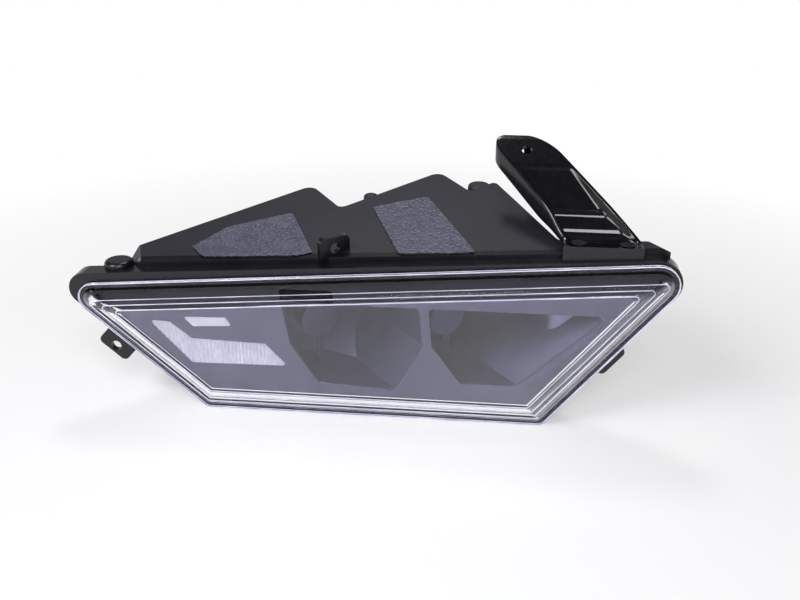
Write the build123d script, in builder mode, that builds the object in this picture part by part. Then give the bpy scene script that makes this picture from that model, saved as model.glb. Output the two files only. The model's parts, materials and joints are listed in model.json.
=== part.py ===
"""Automotive headlight assembly: moulded housing, glued clear lens, bezel, two swept
reflectors with their bulbs, a fluted marker lamp and the upper mounting bracket.

Millimetres, +Z up. The lens faces -Y, +X is to the right as seen from the front, and
the origin is on the bottom edge of the lens flange, near its middle, on the resting plane.
"""

import os
from math import cos, radians, sin, tan

from build123d import *

os.makedirs("parts", exist_ok=True)

# Flange outline, seen from the front
BOTTOM_LEFT = 110.5
BOTTOM_RIGHT = 104.5
LEFT_RAKE = 42.5
RIGHT_RAKE = 52.0
TOP_TILT = 4.5
MID_HEIGHT = 100.0
LEFT_LIFT = 5.0
TOP_LEFT_RADIUS = 11.0
TOP_RIGHT_RADIUS = 14.0
BOTTOM_RADIUS = 7.5
LEAST_RADIUS = 2.0

# Flange and glue channel, sizes across the rim and along the depth
FLANGE_DEPTH = 12.0
RIM_WALL = 3.5
LIP_MARGIN = 1.5
GROOVE_WIDTH = 3.9
GROOVE_DEPTH = 9.5
INNER_RIM_WALL = 2.5
SEAT_DEPTH = 5.0
SEAT_WIDTH = 2.6

# Clear lens
LIP_THICKNESS = 3.0
LIP_LEDGE = 2.2
LEG_GAP = 0.6
LEG_THICKNESS = 2.6
LEG_LENGTH = 7.0
LENS_WALL = 2.6
SKIRT_WALL = 1.8
FACE_EDGE_WALL = 1.3
LIP_ROOT = 0.65
SKIRT_REACH = 8.0
SKIRT_INSET = 7.8
LEDGE_INSET = 3.0
LEDGE_RISE = 0.8
BEVEL = 2.4
BROW_SLOPE = 0.646

# Housing shell
WALL = 2.5
BODY_INSET = 10.0
TOP_RISE = 4.0
TOP_SIDE_SLOPE = 0.059
TOP_REAR_SLOPE = 0.176
TOP_EDGE_RADIUS = 2.2
TOWER_RADIUS = 8.0
NOOK_RADIUS = 4.0

# Towers in the swept frame: u runs across the car, w runs back along its axis
SWEEP = 37.5
REAR_LOW = 118.0
REAR_HIGH = 77.0
REAR_END = 40.5
TOWER_LEFT = -105.0
STEP_LOW = 18.5
STEP_HIGH = 97.0
STEP_END = 118.0
WALL_FOOT_U = 102.0
WALL_FOOT_W = -46.0
LEFT_FOOT_X = -178.0
RIGHT_FOOT_X = 158.0
RIGHT_FOOT_Y = 24.0
RIGHT_END_X = 171.0
SHOULDER_LEAN = 50.0

# Bulb axes
AXIS_HEIGHT = 53.0
LOW_U = -14.0
HIGH_U = 58.0
MARKER_U = -76.0
MARKER_HEIGHT = 63.0

# Bulb ports and bulbs
PORT_RADIUS = 13.0
COLLAR_WALL = 3.5
COLLAR_HEIGHT = 8.0
MARKER_PORT_RADIUS = 9.0
SHANK_GAP = 0.25
SHANK_LENGTH = 18.0
SOCKET_FLANGE = 3.0
RING_RADIUS = 1.5
RING_GAP = 0.1
CONNECTOR_WIDTH = 24.0
CONNECTOR_HEIGHT = 19.0
CONNECTOR_LENGTH = 22.0
CONNECTOR_WALL = 2.0
CONNECTOR_CAVITY = 15.0
TERMINAL_PITCH = 8.0
TERMINAL_WIDTH = 2.8
TERMINAL_THICKNESS = 0.8
TERMINAL_LENGTH = 11.0
BASE_RADIUS = 9.0
BASE_LENGTH = 10.0
GLASS_RADIUS = 6.0
GLASS_WALL = 1.0
GLASS_LENGTH = 34.0
FILAMENT_RADIUS = 0.9
FILAMENT_LENGTH = 5.0
POST_RADIUS = 0.5
POST_SPREAD = 2.6
POST_LENGTH = 9.0

# Reflectors
FOCAL_LENGTH = 9.0
VERTEX_SETBACK = 19.0
REFLECTOR_SHIFT = 3.0
REFLECTOR_WALL = 2.0
REFLECTOR_GAP = 1.0
BOWL_RADIUS = 62.0
NECK_RADIUS = 12.5
NECK_BORE = 10.2

# Bulb shields
SHIELD_RADIUS = 13.0
SHIELD_WALL = 1.0
SHIELD_DEPTH = 22.0
SHIELD_CLEARANCE = 16.0
STRUT_WIDTH = 3.0

# Bezel
BEZEL_THICKNESS = 2.0
BEZEL_GAP = 0.5
OPENING_RADIUS = 3.0
MARKER_CORNER = 1.2
STRIPE_RISE = 3.0
STRIPE_TAPER = 25.0
SLOT_HEIGHT = 5.0
SLOT_WIDTH = 34.0
stripe_points = [(89.5, 25), (96.5, 25), (147.5, 76), (141.5, 76)]
slot_places = [(-43, 81)]

# Marker lamp
FLUTE_PITCH = 2.3
FLUTE_DEPTH = 0.9
OPTIC_THICKNESS = 2.4
OPTIC_OVERLAP = 2.0
OPTIC_GAP = 0.3
TRAY_BACK = 22.0
TRAY_WALL = 2.0
MARKER_BULB_RADIUS = 4.6
MARKER_BULB_TIP = 1.6
MARKER_BULB_LENGTH = 26.0
MARKER_SHANK_LENGTH = 12.0
WASHER = 1.5

# Tabs and lugs
TAB_THICKNESS = 4.0
BOLT_HOLE_RADIUS = 3.3
TOP_TAB_X = -27.0
TOP_TAB_Y = 14.0
TOP_TAB_WIDTH = 20.0
TOP_TAB_RISE = 11.2
TOP_TAB_HOLE_RISE = 4.1
TAB_CORNER = 3.5
SIDE_TAB_HEIGHT = 47.0
SIDE_TAB_WIDTH = 22.0
SIDE_TAB_REACH = 15.5
SIDE_TAB_HOLE = 10.6
SIDE_TAB_DEPTH = 4.0
LUG_HEIGHT = 46.0
LUG_WIDTH = 22.0
LUG_REACH = 7.0

# Feet under the housing
FOOT_THICKNESS = 3.0
FOOT_FRONT = 12.0
FOOT_LENGTH = 74.0

# Textured pads and bosses on the housing top
PAD_RISE = 0.6
PAD_CORNER = 4.0
BOSS_RISE = -0.5
BOSS_LENGTH = 40.0
BOSS_EDGE = 2.5
HIGH_BOSS_RADIUS = 5.0
HIGH_BOSS_U = 43.0
END_BOSS_RADIUS = 7.5
END_BOSS_U = 107.0
CORNER_BOSS_RADIUS = 9.0
CORNER_BOSS_X = -163.0
CORNER_BOSS_TOP = 96.0

# Upper bracket
BRACKET_X = 132.0
BRACKET_WIDTH = 46.0
BRACKET_SHEET = 3.5
BRACKET_SIDE = 8.0
SEAT_RISE = 0.9
SEAT_FRONT = 3.0
SEAT_DEPTH_BACK = 11.0
ARM_WIDTH = 40.0
PAD_WIDTH = 37.0
PAD_CORNER_RADIUS = 12.0
BEND_RADIUS = 4.0
RISER_RUN = 13.0
RISER_HEIGHT = 15.0
ARM_RUN = 27.0
ARM_HEIGHT = 17.0
PAD_RUN = 22.0
PAD_HEIGHT = 13.5
BRACKET_HOLE_BACK = 9.5
SCREW_RADIUS = 2.4
SCREW_HEAD_RADIUS = 4.4
SCREW_HEAD_HEIGHT = 2.0
COUNTERSINK = 45.0
SCREW_LENGTH = 6.0
SCREW_SPREAD = 14.0

# Reflector screws
EAR_RADIUS = 4.0
EAR_THICKNESS = 3.0
SMALL_SCREW_RADIUS = 1.5
SMALL_HEAD_RADIUS = 3.2
SMALL_HEAD_HEIGHT = 2.2
PILOT_DEPTH = 1.5
SCREW_GAP = 0.2

# Insets from the flange outline, worked out from the sizes above
GROOVE_OUT = RIM_WALL
GROOVE_IN = RIM_WALL + GROOVE_WIDTH
SEAT_OUT = GROOVE_IN + INNER_RIM_WALL
SEAT_IN = SEAT_OUT + SEAT_WIDTH
LEG_OUT = GROOVE_OUT + LEG_GAP
LEG_IN = LEG_OUT + LEG_THICKNESS
BEZEL_EDGE = SEAT_OUT + BEZEL_GAP
BEZEL_FRONT = SEAT_DEPTH - BEZEL_THICKNESS
TOP_HEIGHT = MID_HEIGHT + TOP_RISE

# Directions of the swept frame
ACROSS = Vector(cos(radians(SWEEP)), sin(radians(SWEEP)), 0)
BACK = Vector(-sin(radians(SWEEP)), cos(radians(SWEEP)), 0)
FORWARD = BACK * -1


def front_plane(depth):
    """Plane seen from the front, at a depth behind the lens parting plane."""
    return Plane.XZ.offset(-depth)


def in_plan(u, w):
    """Plan point of the swept frame."""
    point = ACROSS * u + BACK * w
    return (point.X, point.Y)


def axis_plane(u, w, height):
    """Plane square to the car's axis, looking back, with its y axis up."""
    x, y = in_plan(u, w)
    return Plane(origin=(x, y, height), x_dir=ACROSS * -1, z_dir=BACK)


def corner_points(side, top):
    """Corners of the flange outline moved in by side, and by top along its upper edge."""
    height = MID_HEIGHT - top / cos(radians(TOP_TILT))
    slope = tan(radians(TOP_TILT))
    left_cot = 1 / tan(radians(LEFT_RAKE))
    right_cot = 1 / tan(radians(RIGHT_RAKE))
    left_start = -BOTTOM_LEFT + side / sin(radians(LEFT_RAKE))
    right_start = BOTTOM_RIGHT - side / sin(radians(RIGHT_RAKE))
    left_top = (left_start - height * left_cot) / (1 + slope * left_cot)
    right_top = (right_start + height * right_cot) / (1 - slope * right_cot)
    return [
        (left_start - side * left_cot, side),
        (right_start + side * right_cot, side),
        (right_top, height + slope * right_top),
        (left_top, height + slope * left_top),
    ]


def outline(depth, side, top=None):
    """Face of the flange outline moved in, with its corners rounded."""
    radii = [BOTTOM_RADIUS, BOTTOM_RADIUS, TOP_RIGHT_RADIUS, TOP_LEFT_RADIUS]
    points = corner_points(side, side if top is None else top)
    with BuildSketch(front_plane(depth)) as shape:
        with BuildLine():
            FilletPolyline(points, radius=[max(r - side, LEAST_RADIUS) for r in radii], close=True)
        make_face()
    return shape.sketch


def flange_face():
    """Outer face of the flange: the lens outline with its left upper corner raised."""
    points = corner_points(0, 0)
    x, height = points[-1]
    points[-1] = (x - LEFT_LIFT / tan(radians(LEFT_RAKE)), height + LEFT_LIFT)
    radii = [BOTTOM_RADIUS, BOTTOM_RADIUS, TOP_RIGHT_RADIUS, TOP_LEFT_RADIUS]
    with BuildSketch(front_plane(0)) as shape:
        with BuildLine():
            FilletPolyline(points, radius=radii, close=True)
        make_face()
    return shape.sketch


def chamber(inset, front):
    """Solid of the rear body moved in on every side, from a front plane backwards."""
    reach = 3 * REAR_LOW
    plan = [
        (-reach, -reach),
        (-reach, 0),
        (LEFT_FOOT_X, FLANGE_DEPTH - WALL),
        in_plan(TOWER_LEFT, REAR_LOW),
        in_plan(STEP_LOW, REAR_LOW),
        in_plan(STEP_LOW, REAR_HIGH),
        in_plan(STEP_HIGH, REAR_HIGH),
        in_plan(STEP_HIGH, REAR_END),
        in_plan(STEP_END, REAR_END),
        in_plan(WALL_FOOT_U, WALL_FOOT_W),
        (RIGHT_FOOT_X, RIGHT_FOOT_Y),
        (RIGHT_END_X, FLANGE_DEPTH - WALL),
        (reach, 0),
        (reach, -reach),
    ]
    radii = [0, 0, 0, TOWER_RADIUS, TOWER_RADIUS, NOOK_RADIUS, TOWER_RADIUS, NOOK_RADIUS]
    radii += [NOOK_RADIUS, TOWER_RADIUS, 0, 0, 0, 0]
    profile = corner_points(BODY_INSET + inset, -reach)
    with BuildPart() as body:
        with BuildSketch(Plane.XY):
            with BuildLine():
                FilletPolyline(plan, radius=radii, close=True)
            make_face()
            offset(amount=-inset)
        extrude(amount=2 * MID_HEIGHT)
        with BuildSketch(front_plane(front)):
            with BuildLine():
                FilletPolyline(profile, radius=[BOTTOM_RADIUS, BOTTOM_RADIUS, 0, 0], close=True)
            make_face()
        extrude(amount=-reach, mode=Mode.INTERSECT)
        split(bisect_by=top_plane(-inset), keep=Keep.BOTTOM)
        split(bisect_by=shoulder_plane(-inset), keep=Keep.BOTTOM)
    return body.part


def shoulder_plane(rise):
    """Plane of the slanting left shoulder of the housing, moved out by rise."""
    x, y = in_plan(TOWER_LEFT, REAR_LOW)
    lean = radians(SHOULDER_LEAN)
    plane = Plane(origin=(x, y, top_height(x, y)), z_dir=(-sin(lean), -sin(lean) / 2, cos(lean)))
    return plane.offset(rise)


def top_plane(rise):
    """Inclined plane of the housing top, moved out by rise."""
    plane = Plane(
        origin=(0, 0, TOP_HEIGHT),
        x_dir=(1, 0, TOP_SIDE_SLOPE),
        z_dir=(-TOP_SIDE_SLOPE, -TOP_REAR_SLOPE, 1),
    )
    return plane.offset(rise)


def top_height(x, y):
    """Height of the housing top above a plan point."""
    return TOP_HEIGHT + TOP_SIDE_SLOPE * x + TOP_REAR_SLOPE * y


# Level of the bracket seat, a little above the highest corner of the housing under it
foot_back = SEAT_FRONT + SEAT_DEPTH_BACK
seat_height = top_height(BRACKET_X + BRACKET_WIDTH / 2, foot_back) + SEAT_RISE


# Openings of the bezel as points seen from the front
low_opening = [(-38, 21), (11, 18), (28.5, 50), (26, 76), (-59, 76), (-54.5, 47.5)]
high_opening = [(52, 25), (87, 25.5), (139.5, 76), (31.5, 76), (34, 50)]
marker_opening = [(-118.5, 31), (-56.7, 32), (-70.4, 47), (-117.4, 48.4), (-130.6, 59.4), (-144, 60)]
window_opening = [(-116, 56.6), (-90.8, 58), (-94.7, 64), (-122.4, 63.3)]
tray_opening = [(-120.5, 26.5), (-55, 27.5), (-50.5, 32.5), (-82, 68.5), (-157, 67.5)]

# Screw places in the bezel, two for each reflector, and where their ears grow from
low_ears = [(27, 31), (0, 82.2)]
low_roots = [(20, 35), (0, 76)]
high_ears = [(70, 18.4), (62, 82.5)]
high_roots = [(70, 25), (62, 76)]

# Textured pads on the housing top, in the plane of the top
low_pad = [(-119, 24), (-102, 48), (-62, 65), (-40, 15), (-49, 10.5), (-108, 10.5)]
high_pad = [(-10, 70), (26, 83), (60, 10.5), (13, 10.5)]


def panel(points, depth, grow=0, corner=OPENING_RADIUS):
    """Face of a rounded polygon seen from the front, grown by an even margin."""
    with BuildSketch(front_plane(depth)) as shape:
        with BuildLine():
            FilletPolyline(points, radius=corner, close=True)
        make_face()
        offset(amount=grow)
    return shape.sketch


def bolt_circle(points, depth, radius):
    """Round faces at screw places seen from the front."""
    with BuildSketch(front_plane(depth)) as shape:
        with Locations(*points):
            Circle(radius)
    return shape.sketch


def boss(x, y, top, radius):
    """Upright moulded boss with a rounded top."""
    with BuildPart() as solid:
        with BuildSketch(Plane.XY.offset(top)):
            with Locations((x, y)):
                Circle(radius)
        extrude(amount=-BOSS_LENGTH)
        fillet(solid.faces().sort_by(Axis.Z)[-1].edges(), BOSS_EDGE)
    return solid.part


# Housing shell with its flange, glue channel, bulb ports, tabs, feet and pads
ports = [
    (LOW_U, REAR_LOW, AXIS_HEIGHT, PORT_RADIUS),
    (HIGH_U, REAR_HIGH, AXIS_HEIGHT, PORT_RADIUS),
    (MARKER_U, REAR_LOW, MARKER_HEIGHT, MARKER_PORT_RADIUS),
]
left_edge = -BOTTOM_LEFT - SIDE_TAB_HEIGHT / tan(radians(LEFT_RAKE))
right_edge = BOTTOM_RIGHT + LUG_HEIGHT / tan(radians(RIGHT_RAKE))
top_tab_plane = Plane(origin=(TOP_TAB_X, TOP_TAB_Y, 0), x_dir=ACROSS, z_dir=FORWARD)
top_tab_foot = MID_HEIGHT - 2 * RIM_WALL
top_tab_end = top_height(TOP_TAB_X, TOP_TAB_Y) + TOP_TAB_RISE
top_tab_hole = top_height(TOP_TAB_X, TOP_TAB_Y) + TOP_TAB_HOLE_RISE
side_tab_plane = Plane(
    origin=(left_edge, SIDE_TAB_DEPTH, SIDE_TAB_HEIGHT),
    x_dir=(-cos(radians(LEFT_RAKE)), 0, sin(radians(LEFT_RAKE))),
    z_dir=(0, -1, 0),
)
lug_plane = Plane(
    origin=(right_edge, FLANGE_DEPTH, LUG_HEIGHT),
    x_dir=(cos(radians(RIGHT_RAKE)), 0, sin(radians(RIGHT_RAKE))),
    z_dir=(0, 1, 0),
)
high_boss = in_plan(HIGH_BOSS_U, REAR_HIGH + HIGH_BOSS_RADIUS / 2)
end_boss = in_plan(END_BOSS_U, REAR_END + END_BOSS_RADIUS / 2)
bosses = [
    (*high_boss, top_height(*high_boss) + BOSS_RISE, HIGH_BOSS_RADIUS),
    (*end_boss, top_height(*end_boss) + BOSS_RISE, END_BOSS_RADIUS),
    (CORNER_BOSS_X, FLANGE_DEPTH, CORNER_BOSS_TOP, CORNER_BOSS_RADIUS),
]
screw_y = SEAT_FRONT + SEAT_DEPTH_BACK / 2
screw_places = [(BRACKET_X - SCREW_SPREAD, screw_y), (BRACKET_X + SCREW_SPREAD, screw_y)]
body_solid = chamber(0, FLANGE_DEPTH - WALL)
cavity_solid = chamber(WALL, FLANGE_DEPTH)

with BuildPart() as housing:
    add(body_solid)
    top_edges = housing.faces().sort_by(Axis.Z)[-1].edges()
    fillet(top_edges.filter_by(lambda edge: edge.center().Y > RIGHT_FOOT_Y), TOP_EDGE_RADIUS)
    extrude(flange_face(), amount=-FLANGE_DEPTH)

    # Tabs and lug
    with BuildSketch(top_tab_plane) as top_tab:
        with Locations((0, (top_tab_end + top_tab_foot) / 2)):
            Rectangle(TOP_TAB_WIDTH, top_tab_end - top_tab_foot)
        fillet(top_tab.vertices().group_by(Axis.Y)[-1], TAB_CORNER)
    extrude(amount=TAB_THICKNESS / 2, both=True)
    with BuildSketch(side_tab_plane) as side_tab:
        with Locations((0, (SIDE_TAB_REACH - RIM_WALL) / 2)):
            Rectangle(SIDE_TAB_WIDTH, SIDE_TAB_REACH + RIM_WALL)
        fillet(side_tab.vertices().group_by(Axis.Y)[-1], TAB_CORNER)
    extrude(amount=-TAB_THICKNESS)
    with BuildSketch(lug_plane) as lug:
        with Locations((0, (LUG_REACH - RIM_WALL) / 2)):
            Rectangle(LUG_WIDTH, LUG_REACH + RIM_WALL)
        fillet(lug.vertices().group_by(Axis.Y)[-1], TAB_CORNER)
    extrude(amount=-TAB_THICKNESS)

    # Seat of the upper bracket
    with BuildSketch(Plane.XY.offset(seat_height)):
        with Locations((BRACKET_X, SEAT_FRONT + SEAT_DEPTH_BACK / 2)):
            Rectangle(BRACKET_WIDTH, SEAT_DEPTH_BACK)
    extrude(amount=-SCREW_LENGTH - RIM_WALL)

    # Pads, bosses and feet
    for points in (low_pad, high_pad):
        with BuildSketch(top_plane(0)):
            with BuildLine():
                FilletPolyline(points, radius=PAD_CORNER, close=True)
            make_face()
        extrude(amount=PAD_RISE)
    for x, y, top, radius in bosses:
        add(boss(x, y, top, radius))
    for u, rear, height, bore in ports:
        with BuildSketch(axis_plane(u, rear - WALL, height)):
            Circle(bore + COLLAR_WALL)
        extrude(amount=WALL + COLLAR_HEIGHT)
    for u in (LOW_U, HIGH_U):
        start = (FOOT_FRONT - u * ACROSS.Y) / BACK.Y
        x, y = in_plan(u, start + FOOT_LENGTH / 2)
        with BuildSketch(Plane(origin=(x, y, 0), x_dir=ACROSS)):
            Rectangle(FOOT_THICKNESS, FOOT_LENGTH)
        extrude(amount=BODY_INSET + WALL)

    # Hollows: rear chamber, front opening, bezel seat and glue channel
    add(cavity_solid, mode=Mode.SUBTRACT)
    extrude(outline(0, SEAT_IN), amount=-FLANGE_DEPTH, mode=Mode.SUBTRACT)
    extrude(outline(0, SEAT_OUT), amount=-SEAT_DEPTH, mode=Mode.SUBTRACT)
    extrude(outline(0, GROOVE_OUT) - outline(0, GROOVE_IN), amount=-GROOVE_DEPTH, mode=Mode.SUBTRACT)
    for u, rear, height, bore in ports:
        with BuildSketch(axis_plane(u, rear - 2 * WALL, height)):
            Circle(bore)
        extrude(amount=2 * WALL + COLLAR_HEIGHT, mode=Mode.SUBTRACT)

    # Bolt holes
    with BuildSketch(top_tab_plane):
        with Locations((0, top_tab_hole)):
            Circle(BOLT_HOLE_RADIUS)
    extrude(amount=TAB_THICKNESS / 2, both=True, mode=Mode.SUBTRACT)
    with BuildSketch(side_tab_plane):
        with Locations((0, SIDE_TAB_HOLE)):
            Circle(BOLT_HOLE_RADIUS)
    extrude(amount=-TAB_THICKNESS, mode=Mode.SUBTRACT)
    with BuildSketch(Plane.XY.offset(seat_height)):
        with Locations(*screw_places):
            Circle(SCREW_RADIUS)
    extrude(amount=-SCREW_LENGTH, mode=Mode.SUBTRACT)
housing.part.label = "housing"
export_step(housing.part, "parts/housing.step")


def brow(depth):
    """Inset of the lens's upper edge at a depth: the brow slopes back evenly."""
    return LIP_MARGIN + LIP_LEDGE + (-LIP_THICKNESS - depth) * BROW_SLOPE


# Lens surface as steps: depth and inset of each ridge, from the lip to the front face
lens_steps = [(-LIP_THICKNESS, LIP_MARGIN + LIP_LEDGE)]
for run, inset in [(SKIRT_REACH, SKIRT_INSET)] + 2 * [(LEDGE_RISE, LEDGE_INSET), (BEVEL, BEVEL)]:
    lens_steps.append((lens_steps[-1][0] - run, lens_steps[-1][1] + inset))
lens_front, face_inset = lens_steps[-1]
skirt_front, skirt_inset = lens_steps[1]
hollow_front = lens_front + LENS_WALL
hollow_lip = -LIP_THICKNESS + LIP_ROOT
lens_hollow = [
    (hollow_lip, LEG_IN, LEG_IN),
    (skirt_front + SKIRT_WALL, skirt_inset + SKIRT_WALL, brow(skirt_front) + LENS_WALL),
    (hollow_front, face_inset + FACE_EDGE_WALL, brow(hollow_front) + LENS_WALL),
]

with BuildPart() as lens:
    extrude(outline(0, LIP_MARGIN), amount=LIP_THICKNESS)
    extrude(outline(0, LEG_OUT), amount=-LEG_LENGTH)
    loft([outline(depth, inset, brow(depth)) for depth, inset in lens_steps], ruled=True)
    extrude(outline(LEG_LENGTH, LEG_IN), amount=LEG_LENGTH - hollow_lip, mode=Mode.SUBTRACT)
    loft([outline(*step) for step in lens_hollow], ruled=True, mode=Mode.SUBTRACT)
lens.part.label = "lens"
export_step(lens.part, "parts/lens.step")

# Sealing bead in the bottom of the glue channel, under the lens leg
with BuildPart() as lens_seal:
    bead = outline(LEG_LENGTH, GROOVE_OUT) - outline(LEG_LENGTH, GROOVE_IN)
    extrude(bead, amount=-(GROOVE_DEPTH - LEG_LENGTH))
lens_seal.part.label = "lens_seal"
export_step(lens_seal.part, "parts/lens_seal.step")

# Bezel plate with its lamp openings, raised stripe, slots and blind screw holes
with BuildPart() as bezel:
    extrude(outline(SEAT_DEPTH, BEZEL_EDGE), amount=BEZEL_THICKNESS)
    with BuildSketch(front_plane(BEZEL_FRONT)):
        with BuildLine():
            Polyline(stripe_points, close=True)
        make_face()
    extrude(amount=STRIPE_RISE, taper=STRIPE_TAPER)
    for points in (low_opening, high_opening):
        extrude(panel(points, SEAT_DEPTH), amount=BEZEL_THICKNESS + STRIPE_RISE, mode=Mode.SUBTRACT)
    for points in (marker_opening, window_opening):
        extrude(panel(points, SEAT_DEPTH, 0, MARKER_CORNER), amount=BEZEL_THICKNESS, mode=Mode.SUBTRACT)
    with BuildSketch(front_plane(SEAT_DEPTH)):
        with Locations(*slot_places):
            SlotOverall(SLOT_WIDTH, SLOT_HEIGHT)
    extrude(amount=BEZEL_THICKNESS, mode=Mode.SUBTRACT)
    pilots = bolt_circle(low_ears + high_ears, SEAT_DEPTH, SMALL_SCREW_RADIUS)
    extrude(pilots, amount=PILOT_DEPTH, mode=Mode.SUBTRACT)
bezel.part.label = "bezel"
export_step(bezel.part, "parts/bezel.step")


def bowl(u, rear, shift):
    """Solid paraboloid opening forwards on a bulb axis, moved back by shift."""
    x, y = in_plan(u, rear - VERTEX_SETBACK + shift)
    depth = BOWL_RADIUS**2 / (4 * FOCAL_LENGTH)
    with BuildPart() as solid:
        with BuildSketch(Plane(origin=(x, y, AXIS_HEIGHT), x_dir=FORWARD, z_dir=ACROSS * -1)):
            with BuildLine():
                Bezier((0, 0), (0, BOWL_RADIUS / 2), (depth, BOWL_RADIUS))
                Polyline((depth, BOWL_RADIUS), (2 * depth, BOWL_RADIUS), (2 * depth, 0), (0, 0))
            make_face()
        revolve(axis=Axis((x, y, AXIS_HEIGHT), FORWARD))
    return solid.part


def tunnel(points, grow, reach):
    """Sharp-cornered prism that runs back from a bezel opening along the car's axis."""
    with BuildPart() as solid:
        with BuildSketch(front_plane(SEAT_DEPTH)):
            with BuildLine():
                Polyline(points, close=True)
            make_face()
            offset(amount=grow, kind=Kind.INTERSECTION)
        extrude(amount=reach, dir=BACK)
    return solid.part


reflector_limit = chamber(WALL + REFLECTOR_GAP, SEAT_DEPTH)
hollow_limit = chamber(WALL + REFLECTOR_GAP + REFLECTOR_WALL, SEAT_DEPTH)
reach = 2 * REAR_LOW
lamps = [
    ("low", LOW_U, REAR_LOW, low_opening, low_ears, low_roots),
    ("high", HIGH_U, REAR_HIGH, high_opening, high_ears, high_roots),
]
for name, u, rear, opening, ears, roots in lamps:
    outer_tunnel = tunnel(opening, REFLECTOR_WALL, reach)
    inner_tunnel = tunnel(opening, 0, reach)
    shell = outer_tunnel & bowl(u, rear, REFLECTOR_SHIFT) & reflector_limit
    hollow = inner_tunnel & bowl(u, rear, 0) & hollow_limit
    shank_front = rear + COLLAR_HEIGHT - SHANK_LENGTH
    vertex = rear - VERTEX_SETBACK

    # Reflector bowl with its bulb neck and screw ears
    with BuildPart() as reflector:
        add(shell)
        with BuildSketch(axis_plane(u, vertex - REFLECTOR_SHIFT, AXIS_HEIGHT)):
            Circle(NECK_RADIUS)
        extrude(amount=shank_front - vertex + REFLECTOR_SHIFT)
        for place, root in zip(ears, roots):
            with BuildSketch(front_plane(SEAT_DEPTH)):
                with Locations(place, root):
                    Circle(EAR_RADIUS)
                make_hull()
            extrude(amount=-EAR_THICKNESS)
        add(hollow, mode=Mode.SUBTRACT)
        with BuildSketch(axis_plane(u, vertex - REFLECTOR_SHIFT, AXIS_HEIGHT)):
            Circle(NECK_BORE)
        extrude(amount=VERTEX_SETBACK, mode=Mode.SUBTRACT)
        hole = bolt_circle(ears, SEAT_DEPTH, SMALL_SCREW_RADIUS + SCREW_GAP)
        extrude(hole, amount=-EAR_THICKNESS, mode=Mode.SUBTRACT)
    reflector.part.label = f"reflector_{name}"
    export_step(reflector.part, f"parts/reflector_{name}.step")

    # Screws from the reflector ears into the bezel
    for number, place in enumerate(ears, 1):
        with BuildPart() as screw:
            head = bolt_circle([place], SEAT_DEPTH + EAR_THICKNESS, SMALL_HEAD_RADIUS)
            extrude(head, amount=-SMALL_HEAD_HEIGHT)
            shaft = bolt_circle([place], SEAT_DEPTH + EAR_THICKNESS, SMALL_SCREW_RADIUS)
            extrude(shaft, amount=EAR_THICKNESS + PILOT_DEPTH)
        screw.part.label = f"reflector_screw_{name}_{number}"
        export_step(screw.part, f"parts/reflector_screw_{name}_{number}.step")

    # Bulb holder: shank with a ring groove, stop flange and plug socket
    shank_radius = PORT_RADIUS - SHANK_GAP
    ring_path = PORT_RADIUS - RING_GAP - RING_RADIUS
    ring_plane = axis_plane(u, rear, AXIS_HEIGHT)
    groove_width = 2 * (RING_RADIUS + RING_GAP)
    with BuildPart() as socket:
        with BuildSketch(axis_plane(u, shank_front, AXIS_HEIGHT)):
            Circle(shank_radius)
        extrude(amount=SHANK_LENGTH)
        with BuildSketch(axis_plane(u, rear + COLLAR_HEIGHT, AXIS_HEIGHT)):
            Circle(PORT_RADIUS + COLLAR_WALL)
        extrude(amount=SOCKET_FLANGE)
        with BuildSketch(axis_plane(u, rear + COLLAR_HEIGHT + SOCKET_FLANGE, AXIS_HEIGHT)):
            RectangleRounded(CONNECTOR_WIDTH, CONNECTOR_HEIGHT, CONNECTOR_WALL)
        extrude(amount=CONNECTOR_LENGTH)
        plug_end = rear + COLLAR_HEIGHT + SOCKET_FLANGE + CONNECTOR_LENGTH
        with BuildSketch(axis_plane(u, plug_end, AXIS_HEIGHT)):
            Rectangle(CONNECTOR_WIDTH - 2 * CONNECTOR_WALL, CONNECTOR_HEIGHT - 2 * CONNECTOR_WALL)
        extrude(amount=-CONNECTOR_CAVITY, mode=Mode.SUBTRACT)
        with BuildSketch(axis_plane(u, rear - groove_width / 2, AXIS_HEIGHT)):
            Circle(PORT_RADIUS)
            Circle(ring_path - RING_RADIUS - RING_GAP, mode=Mode.SUBTRACT)
        extrude(amount=groove_width, mode=Mode.SUBTRACT)
    socket.part.label = f"socket_{name}"
    export_step(socket.part, f"parts/socket_{name}.step")

    # Sealing ring in the shank groove
    with BuildPart() as seal:
        with BuildSketch(Plane(origin=ring_plane.origin, x_dir=BACK, z_dir=ACROSS)):
            with Locations((0, ring_path)):
                Rectangle(2 * RING_RADIUS, 2 * RING_RADIUS)
        revolve(axis=Axis(ring_plane.origin, BACK))
    seal.part.label = f"socket_seal_{name}"
    export_step(seal.part, f"parts/socket_seal_{name}.step")

    # Plug terminals standing in the socket
    for number, side in enumerate((-1, 1), 1):
        with BuildPart() as terminal:
            with BuildSketch(axis_plane(u, plug_end - CONNECTOR_CAVITY, AXIS_HEIGHT)):
                with Locations((side * TERMINAL_PITCH / 2, 0)):
                    Rectangle(TERMINAL_WIDTH, TERMINAL_THICKNESS)
            extrude(amount=TERMINAL_LENGTH)
        terminal.part.label = f"terminal_{name}_{number}"
        export_step(terminal.part, f"parts/terminal_{name}_{number}.step")

    # Metal bulb base on the front of the holder
    glass_back = shank_front - BASE_LENGTH
    with BuildPart() as base:
        with BuildSketch(axis_plane(u, shank_front, AXIS_HEIGHT)):
            Circle(BASE_RADIUS)
        extrude(amount=-BASE_LENGTH / 2)
        with BuildSketch(axis_plane(u, glass_back, AXIS_HEIGHT)):
            Circle(GLASS_RADIUS + GLASS_WALL)
        extrude(amount=BASE_LENGTH / 2)
    base.part.label = f"bulb_base_{name}"
    export_step(base.part, f"parts/bulb_base_{name}.step")

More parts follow.
